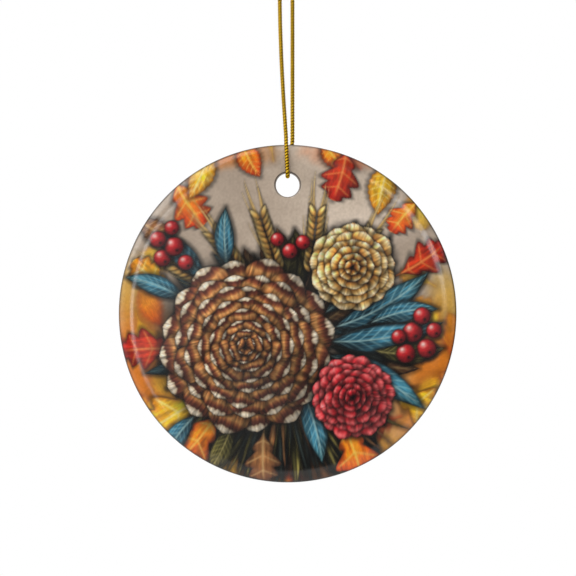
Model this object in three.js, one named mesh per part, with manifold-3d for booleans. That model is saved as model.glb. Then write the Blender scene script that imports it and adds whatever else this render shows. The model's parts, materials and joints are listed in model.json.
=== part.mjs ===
// A flat round ceramic ornament, printed on its front, on a loop of thin gold cord.
// Millimetres, +Z up, front towards -Y. The origin is the point where the loop hangs, under its knot.
import * as THREE from 'three';
import { mergeVertices } from 'three/addons/utils/BufferGeometryUtils.js';
import Module from 'manifold-3d';

// Ceramic disc
const discDiameter = 73;
const discThickness = 3;
const rimRoundWidth = 3.4;
const rimRoundDepth = 1.2;
const backEdgeRadius = 0.5;

// Print coat, the skin that holds the picture: front face and rounded rim
const coatThickness = 0.1;

// Hanging hole
const holeDiameter = 5.1;
const webAboveHole = 6.2;
const holeLipRadius = 0.5;

// Cord
const cordDiameter = 0.94;
const cordClearance = 0.3;
const cornerClearance = 0.07;
const loopLength = 66.2;
const bightRise = 1;
const jointGap = 0.3;
const frontStrandBow = 1.7;
const backStrandBow = 1.05;

// Knot and tails
const knotDiameter = 4.2;
const knotHeight = 4.4;
const knotEndRound = 0.9;
const knotAboveHangPoint = 0.8;
const strandSpacingInKnot = 1.2;
const tailRise = 6;
const tailSpread = 3.6;
const tailStraightRise = 1.5;

// Cutting and fineness
const cutOverrun = 1;
const discSegments = 96;
const holeSegments = 40;
const rimSteps = 7;
const edgeSteps = 3;
const lipSteps = 4;
const knotSegments = 20;
const knotRoundSteps = 4;
const cordSides = 8;
const bightSteps = 40;
const strandSteps = 24;
const tailSteps = 5;
const bendSteps = 6;

// Worked out from the sizes above
const discRadius = discDiameter / 2;
const frontY = -discThickness / 2;
const backY = discThickness / 2;
const holeRadius = holeDiameter / 2;
const cordRadius = cordDiameter / 2;
const knotRadius = knotDiameter / 2;
const holeTopAboveCord = cordClearance + cordRadius;
const holeCentreZ = -loopLength + holeTopAboveCord - holeRadius;
const discCentreZ = holeCentreZ + holeRadius + webAboveHole - discRadius;
const discTopZ = discCentreZ + discRadius;
const strandY = backY + cordClearance + cordRadius;
const bightTopZ = discTopZ + bightRise;
const strandFootZ = bightTopZ + jointGap;
const strandHeadZ = knotAboveHangPoint - jointGap;
const knotFootZ = knotAboveHangPoint;
const knotHeadZ = knotFootZ + knotHeight;
const tailFootZ = knotHeadZ + jointGap;

// The cord turns round the hole's edge as tightly as leaves the corner clearance beside the rounded lip
const lipAndCord = holeLipRadius + cordClearance + cordRadius;
const bendRadius =
  (Math.SQRT2 * lipAndCord - holeLipRadius - cordRadius - cornerClearance) / (Math.SQRT2 - 1);

const glazeWhite = new THREE.MeshStandardMaterial({ color: '#efece6', roughness: 0.25, metalness: 0 });
const printedCoat = new THREE.MeshStandardMaterial({ color: '#b0894f', roughness: 0.15, metalness: 0 });
const goldCord = new THREE.MeshStandardMaterial({ color: '#c79a34', roughness: 0.4, metalness: 0.85 });

const wasm = await Module();
wasm.setup();

function toSolid(geometry) {
  const bare = geometry.clone();
  bare.deleteAttribute('normal');
  bare.deleteAttribute('uv');
  const merged = mergeVertices(bare);
  return new wasm.Manifold(
    new wasm.Mesh({
      numProp: 3,
      vertProperties: new Float32Array(merged.attributes.position.array),
      triVerts: new Uint32Array(merged.index.array),
    }),
  );
}

function toGeometry(solid) {
  const mesh = solid.getMesh();
  const geometry = new THREE.BufferGeometry();
  geometry.setAttribute('position', new THREE.BufferAttribute(mesh.vertProperties, 3));
  geometry.setIndex(new THREE.BufferAttribute(mesh.triVerts, 1));
  geometry.computeVertexNormals();
  return geometry;
}

// Points of a quarter ellipse about a centre, from one angle to the next, both ends included
function arcPoints(centreX, centreY, radiusX, radiusY, fromAngle, toAngle, steps) {
  const points = [];
  for (let i = 0; i <= steps; i += 1) {
    const angle = fromAngle + ((toAngle - fromAngle) * i) / steps;
    points.push(new THREE.Vector2(centreX + radiusX * Math.cos(angle), centreY + radiusY * Math.sin(angle)));
  }
  return points;
}

// The rounded front rim, drawn in by an inset, from the flat face out to the side wall
function rimPoints(inset) {
  return arcPoints(
    discRadius - rimRoundWidth,
    frontY + rimRoundDepth,
    rimRoundWidth - inset,
    rimRoundDepth - inset,
    -Math.PI / 2,
    0,
    rimSteps,
  );
}

// The hanging hole as a solid to cut away, flared at both faces to leave rounded lips
function holeCutter() {
  const lipCentreRadius = holeRadius + holeLipRadius;
  const profile = [
    new THREE.Vector2(0, frontY - cutOverrun),
    new THREE.Vector2(lipCentreRadius, frontY - cutOverrun),
    ...arcPoints(
      lipCentreRadius,
      frontY + holeLipRadius,
      holeLipRadius,
      holeLipRadius,
      (3 * Math.PI) / 2,
      Math.PI,
      lipSteps,
    ),
    ...arcPoints(
      lipCentreRadius,
      backY - holeLipRadius,
      holeLipRadius,
      holeLipRadius,
      Math.PI,
      Math.PI / 2,
      lipSteps,
    ),
    new THREE.Vector2(lipCentreRadius, backY + cutOverrun),
    new THREE.Vector2(0, backY + cutOverrun),
  ];
  const geometry = new THREE.LatheGeometry(profile, holeSegments);
  geometry.translate(0, 0, holeCentreZ);
  return toSolid(geometry);
}

function pierced(profile) {
  const geometry = new THREE.LatheGeometry(profile, discSegments);
  geometry.translate(0, 0, discCentreZ);
  return toGeometry(toSolid(geometry).subtract(holeCutter()));
}

function ceramicDisc() {
  const profile = [
    new THREE.Vector2(0, frontY + coatThickness),
    ...rimPoints(coatThickness),
    new THREE.Vector2(discRadius, frontY + rimRoundDepth),
    ...arcPoints(
      discRadius - backEdgeRadius,
      backY - backEdgeRadius,
      backEdgeRadius,
      backEdgeRadius,
      0,
      Math.PI / 2,
      edgeSteps,
    ),
    new THREE.Vector2(0, backY),
  ];
  return pierced(profile);
}

function printCoat() {
  const profile = [
    new THREE.Vector2(0, frontY),
    ...rimPoints(0),
    ...rimPoints(coatThickness).reverse(),
    new THREE.Vector2(0, frontY + coatThickness),
  ];
  return pierced(profile);
}

function cordTube(points, steps) {
  const section = new THREE.Shape();
  for (let side = 0; side < cordSides; side += 1) {
    const angle = ((side + 0.5) / cordSides) * 2 * Math.PI;
    const corner = [cordRadius * Math.cos(angle), cordRadius * Math.sin(angle)];
    if (side === 0) section.moveTo(...corner);
    else section.lineTo(...corner);
  }
  section.closePath();
  const extrudePath = new THREE.CatmullRomCurve3(points, false, 'centripetal');
  return new THREE.ExtrudeGeometry(section, { steps, extrudePath, bevelEnabled: false });
}

// How far a strand stands out sideways: from the cord in the hole, out to its bow, in again to the knot
const strandHeightShares = [0, 0.2, 0.42, 0.64, 0.82, 1];
const frontBowShares = [0.2, 0.63, 0.94, 0.97, 0.62, 0];
const backBowShares = [1, 1, 1, 0.92, 0.5, 0];
const strandDepthShares = [1, 0.94, 0.78, 0.5, 0.22, 0];

// One side of the cord behind or before the disc: the quarter turn out of the hole, then up past the top edge
function bightSide(facing, topX) {
  const points = [];
  for (let i = 0; i <= bendSteps; i += 1) {
    const angle = ((Math.PI / 2) * i) / bendSteps;
    const out = strandY - bendRadius + bendRadius * Math.sin(angle);
    const rise = bendRadius * (1 - Math.cos(angle));
    const aside = (topX * rise) / (bightTopZ + loopLength);
    points.push(new THREE.Vector3(aside, facing * out, -loopLength + rise));
  }
  points.push(new THREE.Vector3(topX, facing * strandY, bightTopZ));
  return points;
}

const frontFootX = -frontStrandBow * frontBowShares[0];
const backFootX = backStrandBow * backBowShares[0];

function cordBight() {
  return cordTube([...bightSide(-1, frontFootX).reverse(), ...bightSide(1, backFootX)], bightSteps);
}

function cordStrand(side, bow, bowShares, facing) {
  const knotX = (side * strandSpacingInKnot) / 2;
  const points = strandHeightShares.map((share, i) => {
    const x = side * bow * bowShares[i] + knotX * (1 - strandDepthShares[i]) ** 4;
    const z = strandFootZ + (strandHeadZ - strandFootZ) * share;
    return new THREE.Vector3(x, facing * strandY * strandDepthShares[i], z);
  });
  return cordTube(points, strandSteps);
}

function cordKnot() {
  const profile = [
    new THREE.Vector2(0, 0),
    ...arcPoints(
      knotRadius - knotEndRound,
      knotEndRound,
      knotEndRound,
      knotEndRound,
      -Math.PI / 2,
      0,
      knotRoundSteps,
    ),
    ...arcPoints(
      knotRadius - knotEndRound,
      knotHeight - knotEndRound,
      knotEndRound,
      knotEndRound,
      0,
      Math.PI / 2,
      knotRoundSteps,
    ),
    new THREE.Vector2(0, knotHeight),
  ];
  const geometry = new THREE.LatheGeometry(profile, knotSegments);
  geometry.rotateX(Math.PI / 2);
  geometry.translate(0, 0, knotFootZ);
  return toGeometry(toSolid(geometry));
}

// A free end above the knot: straight out of it, then leaning outwards
function cordTail(side) {
  const footX = (side * strandSpacingInKnot) / 2;
  const points = [
    new THREE.Vector3(footX, 0, tailFootZ),
    new THREE.Vector3(footX, 0, tailFootZ + tailStraightRise),
    new THREE.Vector3(footX + (side * tailSpread) / 3, 0, tailFootZ + (tailRise * 2) / 3),
    new THREE.Vector3(footX + side * tailSpread, 0, tailFootZ + tailRise),
  ];
  return cordTube(points, tailSteps);
}

const ornament = new THREE.Group();

function place(name, geometry, material) {
  const mesh = new THREE.Mesh(geometry, material);
  mesh.name = name;
  ornament.add(mesh);
}

place('ceramic_disc', ceramicDisc(), glazeWhite);
place('print_coat', printCoat(), printedCoat);
place('cord_bight', cordBight(), goldCord.clone());
place('cord_front_strand', cordStrand(-1, frontStrandBow, frontBowShares, -1), goldCord.clone());
place('cord_back_strand', cordStrand(1, backStrandBow, backBowShares, 1), goldCord.clone());
place('cord_knot', cordKnot(), goldCord.clone());
place('cord_tail_left', cordTail(-1), goldCord.clone());
place('cord_tail_right', cordTail(1), goldCord.clone());

export default ornament;
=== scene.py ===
import json
import math
import bmesh
import bpy
import numpy as np
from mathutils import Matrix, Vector

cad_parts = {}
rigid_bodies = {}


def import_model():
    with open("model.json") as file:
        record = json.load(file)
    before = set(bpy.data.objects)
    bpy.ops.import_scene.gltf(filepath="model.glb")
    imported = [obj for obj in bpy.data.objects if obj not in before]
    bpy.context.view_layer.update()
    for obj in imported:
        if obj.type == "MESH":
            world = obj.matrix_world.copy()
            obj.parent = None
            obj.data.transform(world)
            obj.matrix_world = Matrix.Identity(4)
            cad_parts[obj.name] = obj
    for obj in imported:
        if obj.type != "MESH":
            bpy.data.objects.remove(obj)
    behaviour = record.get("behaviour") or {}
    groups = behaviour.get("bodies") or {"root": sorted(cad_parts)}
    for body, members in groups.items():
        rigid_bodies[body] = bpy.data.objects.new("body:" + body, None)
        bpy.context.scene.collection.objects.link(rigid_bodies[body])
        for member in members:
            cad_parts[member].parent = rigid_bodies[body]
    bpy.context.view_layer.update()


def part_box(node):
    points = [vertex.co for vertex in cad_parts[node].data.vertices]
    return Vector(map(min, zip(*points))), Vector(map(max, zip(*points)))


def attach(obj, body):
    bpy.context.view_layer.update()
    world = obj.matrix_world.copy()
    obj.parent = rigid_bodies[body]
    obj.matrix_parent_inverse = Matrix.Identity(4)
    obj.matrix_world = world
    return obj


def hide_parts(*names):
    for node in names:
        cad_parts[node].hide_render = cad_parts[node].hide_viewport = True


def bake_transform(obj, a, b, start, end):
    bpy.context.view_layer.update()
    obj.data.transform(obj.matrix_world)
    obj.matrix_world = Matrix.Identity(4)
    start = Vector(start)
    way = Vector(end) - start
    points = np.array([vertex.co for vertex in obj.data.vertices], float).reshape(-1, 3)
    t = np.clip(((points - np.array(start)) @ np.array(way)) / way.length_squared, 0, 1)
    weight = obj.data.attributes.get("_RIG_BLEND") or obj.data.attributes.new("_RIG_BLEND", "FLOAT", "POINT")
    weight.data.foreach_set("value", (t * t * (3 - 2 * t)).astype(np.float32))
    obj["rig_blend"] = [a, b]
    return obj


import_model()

mm = 0.001
sceneItems = bpy.context.scene.collection.objects
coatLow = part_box("print_coat")[0]
discLow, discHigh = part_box("ceramic_disc")
frontY, backY = coatLow.y, discHigh.y
discRadius = (discHigh.x - discLow.x) / 2
discCentreZ = (discHigh.z + discLow.z) / 2
discTopZ = discHigh.z

# Camera: straight on; viewWidth is how much the picture takes in at the disc's front
cameraFacts = {"distance": 0.6, "viewWidth": 0.12426, "x": 0.00008, "z": -0.0902, "sensorWidth": 36,
               "clipStart": 0.01}
camera = bpy.data.objects.new("camera", bpy.data.cameras.new("camera"))
camera.data.sensor_width = cameraFacts["sensorWidth"]
camera.data.lens = cameraFacts["sensorWidth"] * cameraFacts["distance"] / cameraFacts["viewWidth"]
camera.data.clip_start = cameraFacts["clipStart"]
camera.location = (cameraFacts["x"], frontY - cameraFacts["distance"], cameraFacts["z"])
camera.rotation_euler = (math.pi / 2, 0, 0)
sceneItems.link(camera)
bpy.context.scene.camera = camera


def finishPiece(name, bm, material, smoothUnder=40):
    # A finished bmesh becomes an object, smooth but where it turns by more than these degrees
    mesh = bpy.data.meshes.new(name)
    bm.to_mesh(mesh)
    bm.free()
    mesh.shade_smooth()
    mesh.set_sharp_from_angle(angle=math.radians(smoothUnder))
    mesh.materials.append(material)
    piece = bpy.data.objects.new(name, mesh)
    sceneItems.link(piece)
    return piece


# Shader helpers
def newGroup(name, inputs, outputs):
    group = bpy.data.node_groups.new(name, "ShaderNodeTree")
    for side, sockets in (("INPUT", inputs), ("OUTPUT", outputs)):
        for label, kind in sockets.items():
            group.interface.new_socket(label, in_out=side, socket_type="NodeSocket" + kind)
    return group, group.nodes.new("NodeGroupInput").outputs, group.nodes.new("NodeGroupOutput").inputs


def newMaterial(name, values):
    material = bpy.data.materials.new(name)
    material.use_nodes = True
    tree = material.node_tree
    shader = tree.nodes["Principled BSDF"]
    for key, value in values.items():
        shader.inputs[key].default_value = value
    return material, tree, shader


def feed(tree, socket, value):
    # The value is a number, a vector, a colour, or the socket that it comes from
    if isinstance(value, bpy.types.NodeSocket):
        tree.links.new(value, socket)
    else:
        socket.default_value = value


def addNode(tree, kind, values=None, **settings):
    node = tree.nodes.new("ShaderNode" + kind)
    for key, value in settings.items():
        setattr(node, key, value)
    for key, value in (values or {}).items():
        feed(tree, node.inputs[key], value)
    return node


def addMath(tree, operation, first, second, clamp=False):
    return addNode(tree, "Math", {0: first, 1: second}, operation=operation, use_clamp=clamp).outputs[0]


def remap(tree, value, fromRange, toRange, smooth=False):
    # Past either end of the first range the value stays at that end of the second
    labels = ("From Min", "From Max", "To Min", "To Max")
    values = {"Value": value, **dict(zip(labels, (*fromRange, *toRange)))}
    kind = "SMOOTHSTEP" if smooth else "LINEAR"
    return addNode(tree, "MapRange", values, interpolation_type=kind).outputs[0]


def addNoise(tree, place, scale, detail, roughness):
    values = {"Vector": place, "Scale": scale, "Detail": detail, "Roughness": roughness}
    return addNode(tree, "TexNoise", values).outputs["Fac"]


def mixColour(tree, blend, share, first, second):
    # A Mix node has its share at 0, its two colours at 6 and 7, and the mixed colour at 2
    values = {0: share, 6: first, 7: second}
    return addNode(tree, "Mix", values, data_type="RGBA", blend_type=blend).outputs[2]


def scaleColour(tree, colour, level):
    return addNode(tree, "VectorMath", {0: colour, "Scale": level}, operation="SCALE").outputs[0]


def distanceFrom(tree, place, height, along=(1, 1, 1)):
    # How far a place is from the point at this height on the middle line, measured along the given axes
    moved = addNode(tree, "Mapping", {"Vector": place, "Location": (0, 0, -height), "Scale": along})
    return addNode(tree, "VectorMath", {0: moved.outputs[0]}, operation="LENGTH").outputs["Value"]


def addBump(tree, shader, height, distance, strength):
    bump = addNode(tree, "Bump", {"Height": height, "Strength": strength, "Distance": distance})
    tree.links.new(bump.outputs[0], shader.inputs["Normal"])


# Effects that several materials share
def glazeRippleGroup():
    # The slow waves and small pits of a fired glossy surface
    group, inside, outside = newGroup(
        "glaze ripple", {"Place": "Vector", "Wave Size": "Float", "Pit Share": "Float"},
        {"Height": "Float", "Pits": "Float", "Haze": "Float"})
    place = inside["Place"]
    wave = addNoise(group, place, inside["Wave Size"], 1.0, 0.4)
    haze = addNoise(group, place, 75.0, 4.0, 0.6)
    pits = addNode(group, "TexVoronoi", {"Vector": place, "Scale": 900.0, "Randomness": 1.0})
    pit = remap(group, pits.outputs["Distance"], (0.05, 0.16), (1, 0), smooth=True)
    # Only some of the cells hold a pit
    chosen = addMath(group, "GREATER_THAN", pits.outputs["Color"], 0.93)
    spots = addMath(group, "MULTIPLY", addMath(group, "MULTIPLY", pit, chosen), inside["Pit Share"])
    feed(group, outside["Height"], addMath(group, "SUBTRACT", wave, spots))
    feed(group, outside["Pits"], spots)
    feed(group, outside["Haze"], haze)
    return group


def toneDriftGroup():
    # A slow drift of tone over a surface, lighter and darker by the same amount
    group, inside, outside = newGroup(
        "tone drift", {"Colour": "Color", "Place": "Vector", "Scale": "Float", "Amount": "Float"},
        {"Colour": "Color"})
    noise = addNoise(group, inside["Place"], inside["Scale"], 3.0, 0.55)
    swing = addMath(group, "MULTIPLY", addMath(group, "SUBTRACT", noise, 0.5), inside["Amount"])
    level = addMath(group, "ADD", addMath(group, "MULTIPLY", swing, 2.0), 1.0)
    feed(group, outside["Colour"], scaleColour(group, inside["Colour"], level))
    return group


def placeRipple(tree, place, waveSize, pitShare):
    values = {"Place": place, "Wave Size": waveSize, "Pit Share": pitShare}
    return addNode(tree, "Group", values, node_tree=glazeRipple).outputs


def placeDrift(tree, colour, place, scale, amount):
    values = {"Colour": colour, "Place": place, "Scale": scale, "Amount": amount}
    return addNode(tree, "Group", values, node_tree=toneDrift).outputs[0]


glazeRipple = glazeRippleGroup()
toneDrift = toneDriftGroup()
print("camera and shared effects made")

# Hanging hole: the cord and the ceramic both keep to it
holeFacts = {"diameter": 5.1, "webAbove": 6.2, "lipRadius": 0.5}

# Cord: one length of two-ply gold thread, from the knot down before the disc, through the hole and
# up again. Millimetres, but for its declared length in metres and hardEdge in degrees
cordFacts = {
    "length": 0.137, "diameter": 0.95, "plies": 2, "plyLay": 1.26, "grooveDepth": 0.3,
    "grooveSharpness": 1.1, "sides": 20, "step": 0.07, "knotStep": 0.084, "hardEdge": 70,
    "seat": 0.1, "cornerGap": 0.01, "bightTopAboveRim": 1.0, "strandFootAboveRim": 1.3,
    "strandHead": 0.5, "hiddenInKnot": 1.6, "spacingInKnot": 1.2, "frontBow": 1.7, "backBow": 1.05,
    "darkFoil": (0.38, 0.21, 0.004, 1), "brightFoil": (0.92, 0.6, 0.04, 1),
    # The groove colour is a painted shade laid in the grooves between the plies
    "grooveShadeColour": (0.065, 0.034, 0.005, 1), "specular": (1.0, 0.72, 0.1, 1),
}
frayFacts = {"fibres": 16, "lean": 0.32, "shortest": 0.35, "longer": 0.5, "foot": 0.05, "point": 0.03,
             "scatter": 0.2}
seatedRadius = cordFacts["diameter"] / 2 + cordFacts["seat"]
strandY = backY / mm + seatedRadius
lowestZ = discTopZ / mm - holeFacts["webAbove"] - seatedRadius
# The cord turns round the hole's edge as tightly as leaves the corner gap beside the rounded lip
lipToCord = holeFacts["lipRadius"] + cordFacts["diameter"] / 2 + cordFacts["cornerGap"]
bendRadius = (math.sqrt(2) * (holeFacts["lipRadius"] + seatedRadius) - lipToCord) / (math.sqrt(2) - 1)
strandHeightShares = [0, 0.2, 0.42, 0.64, 0.82, 1]
frontBowShares = [0.2, 0.63, 0.94, 0.97, 0.62, 0]
backBowShares = [1, 1, 1, 0.92, 0.5, 0]
strandDepthShares = [1, 0.94, 0.78, 0.5, 0.22, 0]


def curveThrough(points, step):
    # A centripetal Catmull-Rom curve through the points, cut into even steps
    points = np.asarray(points, float)
    points = np.vstack([2 * points[0] - points[1], points, 2 * points[-1] - points[-2]])
    knots = np.concatenate([[0], np.cumsum(np.linalg.norm(np.diff(points, axis=0), axis=1) ** 0.5)])
    fine = []
    finePoints = 40
    for i in range(1, len(points) - 2):
        t = np.linspace(knots[i], knots[i + 1], finePoints, endpoint=i == len(points) - 3)[:, None]
        at = knots[i - 1:i + 3]

        def between(first, second, low, high):
            return (first * (high - t) + second * (t - low)) / (high - low)

        once = [between(points[i - 1 + k], points[i + k], at[k], at[k + 1]) for k in range(3)]
        twice = [between(once[k], once[k + 1], at[k], at[k + 2]) for k in range(2)]
        fine.append(between(twice[0], twice[1], at[1], at[2]))
    fine = np.vstack(fine)
    run = np.concatenate([[0], np.cumsum(np.linalg.norm(np.diff(fine, axis=0), axis=1))])
    even = np.linspace(0, run[-1], int(round(run[-1] / step)) + 1)
    return np.stack([np.interp(even, run, fine[:, k]) for k in range(3)], 1)


def strandRoute(side, bow, bowShares):
    # One side of the loop, from the middle of the hole up to the knot: side is -1 in front and 1 behind
    bightTop = discTopZ / mm + cordFacts["bightTopAboveRim"]
    foot = discTopZ / mm + cordFacts["strandFootAboveRim"]
    head = cordFacts["strandHead"]
    topX = side * bow * bowShares[0]
    points = []
    for angle in np.radians(np.arange(0, 91, 15)):
        rise = bendRadius * (1 - math.cos(angle))
        out = strandY - bendRadius + bendRadius * math.sin(angle)
        points.append((topX * rise / (bightTop - lowestZ), side * out, lowestZ + rise))
    points.append((topX, side * strandY, bightTop))
    knotX = side * cordFacts["spacingInKnot"] / 2
    for height, bowed, depth in zip(strandHeightShares, bowShares, strandDepthShares):
        x = side * bow * bowed + knotX * (1 - depth) ** 4
        points.append((x, side * strandY * depth, foot + (head - foot) * height))
    return points + [(knotX, 0, cordFacts["hiddenInKnot"])]


def overhandRoute():
    # One of the knot's two strands: up its core, out over the top, down round it, and up the core again.
    # Each point is its angle round the knot, its distance from the middle line and its height
    turns = [(180, 0.62, 0.4), (180, 0.64, 1.5), (180, 0.64, 2.5), (182, 0.66, 3.4), (193, 0.8, 4.02),
             (220, 1.15, 4.42), (248, 1.45, 4.52)]
    wrapRadius, wrapTop, wrapPitch, wrapFrom = 1.58, 4.46, 1.9, 275
    turns += [(angle, wrapRadius, wrapTop - wrapPitch * (angle - wrapFrom) / 360)
              for angle in range(wrapFrom, 701, 25)]
    turns += [(730, 1.48, 1.94), (760, 1.14, 1.6), (787, 0.8, 1.52), (806, 0.66, 1.95), (810, 0.64, 2.7),
              (810, 0.64, 3.6), (812, 0.62, 4.5), (850, 0.56, 5.2)]
    wound = [(far * math.cos(math.radians(angle)), far * math.sin(math.radians(angle)), z)
             for angle, far, z in turns]
    return wound + [(-0.6, 0.06, 6.0), (-0.68, 0, 7.1), (-1.8, 0, 9.4), (-3.9, 0, 11.2)]


def newCordMesh():
    bm = bmesh.new()
    bm.verts.layers.float.new("groove")
    bm.loops.layers.uv.new("UVMap")
    return bm


def rollCord(bm, route):
    # A flat grid is rolled into a tube along the route; its section has one lobe for each ply
    rows, sides = len(route) - 1, cordFacts["sides"]
    heading = np.gradient(route, axis=0)
    heading /= np.linalg.norm(heading, axis=1)[:, None]
    outward = np.zeros_like(route)
    offTheRoute = (0.37, 0.91, 0.18)  # any direction that the route doesn't set off in
    aside = np.cross(heading[0], offTheRoute)
    for i, ahead in enumerate(heading):
        aside = aside - ahead * (aside @ ahead)
        aside /= np.linalg.norm(aside)
        outward[i] = aside
    across = np.cross(heading, outward)
    around = np.linspace(0, 2 * math.pi, sides + 1)
    groove = 1 - np.abs(np.sin(cordFacts["plies"] * around / 2)) ** cordFacts["grooveSharpness"]
    reach = cordFacts["diameter"] / 2 * (1 - cordFacts["grooveDepth"] * groove)
    step = np.linalg.norm(route[1] - route[0])
    twist = np.arange(rows + 1) * step / cordFacts["plyLay"] * 2 * math.pi
    made = bmesh.ops.create_grid(bm, x_segments=sides, y_segments=rows, size=0.5, calc_uvs=True)["verts"]
    grooveLayer = bm.verts.layers.float["groove"]
    for vert in made:
        column = round((vert.co.x + 0.5) * sides)
        row = round((vert.co.y + 0.5) * rows)
        angle = around[column] + twist[row]
        out = math.cos(angle) * outward[row] + math.sin(angle) * across[row]
        vert.co = Vector(route[row] + reach[column] * out) * mm
        vert[grooveLayer] = groove[column]
    uvLayer = bm.loops.layers.uv["UVMap"]
    for face in {face for vert in made for face in vert.link_faces}:
        for loop in face.loops:
            loop[uvLayer].uv.y *= rows * step
    # The grid's two long edges meet, and its open ends are closed
    bmesh.ops.remove_doubles(bm, verts=made, dist=1e-8)
    bmesh.ops.holes_fill(bm, edges=[edge for edge in bm.edges if edge.is_boundary], sides=0)


def frayEnd(bm, tip, heading, seed):
    # Short loose fibres at a cut end
    rng = np.random.default_rng(seed)
    scatter = frayFacts["scatter"]
    for _ in range(frayFacts["fibres"]):
        lean = Vector(heading) + Vector(rng.normal(0, frayFacts["lean"], 3))
        turn = Vector((0, 0, 1)).rotation_difference(lean).to_matrix().to_4x4()
        length = frayFacts["shortest"] + frayFacts["longer"] * rng.random()
        fibre = bmesh.ops.create_cone(bm, cap_ends=True, segments=5, radius1=frayFacts["foot"] * mm,
                                      radius2=frayFacts["point"] * mm, depth=length * mm)["verts"]
        bmesh.ops.translate(bm, verts=fibre, vec=(0, 0, length / 2 * mm))
        bmesh.ops.rotate(bm, verts=fibre, cent=(0, 0, 0), matrix=turn)
        start = Vector(tip) + Vector(rng.uniform(-scatter, scatter, 3))
        bmesh.ops.translate(bm, verts=fibre, vec=start * mm)


def goldThread():
    metal = {"Metallic": 1.0, "Specular Tint": cordFacts["specular"]}
    material, tree, shader = newMaterial("gold thread", metal)
    place = addNode(tree, "TexCoord").outputs["Object"]
    lay = addNode(tree, "UVMap", uv_map="UVMap").outputs[0]
    groove = addNode(tree, "Attribute", attribute_name="groove").outputs["Fac"]
    # Fine wraps of foil that cross each ply
    wraps = addNode(tree, "Mapping", {"Vector": lay, "Scale": (6, 9, 1), "Rotation": (0, 0, 0.35)})
    foil = addNoise(tree, wraps.outputs[0], 1.6, 3.0, 0.6)
    gold = mixColour(tree, "MIX", foil, cordFacts["darkFoil"], cordFacts["brightFoil"])
    drift = placeDrift(tree, gold, place, 240.0, 0.34)
    # Painted shade in the grooves between the plies, darker than their depth alone makes them
    shade = remap(tree, groove, (0.1, 0.62), (0, 0.95), smooth=True)
    colour = mixColour(tree, "MULTIPLY", shade, drift, cordFacts["grooveShadeColour"])
    feed(tree, shader.inputs["Base Color"], colour)
    feed(tree, shader.inputs["Roughness"], remap(tree, foil, (0, 1), (0.18, 0.42)))
    addBump(tree, shader, foil, 0.00006, 0.6)
    return material


threadGold = goldThread()
frontSide = strandRoute(-1, cordFacts["frontBow"], frontBowShares)
backSide = strandRoute(1, cordFacts["backBow"], backBowShares)
loopRoute = curveThrough(frontSide[::-1] + backSide, cordFacts["step"])
bm = newCordMesh()
rollCord(bm, loopRoute)
goldCord = finishPiece("goldCord", bm, threadGold, cordFacts["hardEdge"])
loopSpan = float(np.linalg.norm(np.diff(loopRoute, axis=0), axis=1).sum() * mm)
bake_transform(goldCord, "loop", "bight", start=(0, 0, cordFacts["strandHead"] * mm),
         end=(0, 0, discTopZ + cordFacts["bightTopAboveRim"] * mm))
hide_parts("cord_bight", "cord_front_strand", "cord_back_strand")
print("loop of cord made,", round(loopSpan, 4), "m from knot to knot")

# Knot: both ends tied together in one overhand knot, with two cut tails
bm = newCordMesh()
knotRoute = curveThrough(overhandRoute(), cordFacts["knotStep"])
for turned in (1, -1):
    strand = knotRoute * (turned, turned, 1)
    rollCord(bm, strand)
    frayEnd(bm, strand[-2], strand[-1] - strand[-6], 20 + turned)
bmesh.ops.recalc_face_normals(bm, faces=bm.faces)
cordKnot = finishPiece("cordKnot", bm, threadGold, cordFacts["hardEdge"])
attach(cordKnot, "loop")
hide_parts("cord_knot", "cord_tail_left", "cord_tail_right")
print("knot made")


# Print: an autumn bunch, painted stroke by stroke. inkTone is how much deeper than its colour a stroke
# prints; grain is in the ink all over; where the picture turns round the rim it gets a painted shade; light
# is the x and z of the way to the light in the picture, at the upper left
printFacts = {"inkTone": 0.86, "grain": 0.09, "grainSize": 0.35, "rimShade": 0.62, "rimShadeFrom": 36.0,
              "rimShadeOver": 0.9, "softLeaves": 34, "fillLeaves": 84, "grasses": 150, "grains": 10,
              "light": (-0.6, 0.8)}
lightX, lightZ = printFacts["light"]
noiseSize = 64
noiseTable = np.random.default_rng(11).random((noiseSize, noiseSize))


def ease(value):
    value = np.clip(value, 0, 1)
    return value * value * (3 - 2 * value)


def toward(colour, target, share):
    # Moves each colour towards the target by its own share
    return colour + (np.asarray(target, float) - colour) * np.asarray(share)[:, None]


def spotNoise(x, y, seed):
    # Smooth noise from the table; each seed looks at another part of it
    x = x + seed * 7.31
    y = y + seed * 3.17
    i, j = np.floor(x).astype(int), np.floor(y).astype(int)
    fx, fy = ease(x - i), ease(y - j)
    i0, j0, i1, j1 = i % noiseSize, j % noiseSize, (i + 1) % noiseSize, (j + 1) % noiseSize
    low = noiseTable[i0, j0] * (1 - fx) + noiseTable[i1, j0] * fx
    high = noiseTable[i0, j1] * (1 - fx) + noiseTable[i1, j1] * fx
    return low * (1 - fy) + high * fy


def cloud(x, y, size, seed):
    # Four layers of noise, each half as large and half as strong as the one before
    total = sum(0.5**k * spotNoise(x / size * 2**k, y / size * 2**k, seed + 5 * k) for k in range(4))
    return total / sum(0.5**k for k in range(4))


class Painting:
    # Spots are millimetres from the disc's middle; colours are 0 to 255, as an eye reads them
    def __init__(self, spots):
        self.x, self.z = spots[:, 0].astype(float), spots[:, 1].astype(float)
        self.colour = np.zeros((len(spots), 3))
        self.along = np.zeros(len(spots))
        self.across = np.zeros(len(spots))

    def near(self, x, z, reach):
        return np.flatnonzero((np.abs(self.x - x) < reach) & (np.abs(self.z - z) < reach))

    def lay(self, index, colour, cover):
        cover = cover[:, None]
        inked = np.clip(colour, 0, 255) * printFacts["inkTone"]
        self.colour[index] = self.colour[index] * (1 - cover) + inked * cover

    def darken(self, index, amount):
        self.colour[index] *= (1 - amount)[:, None]


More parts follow.
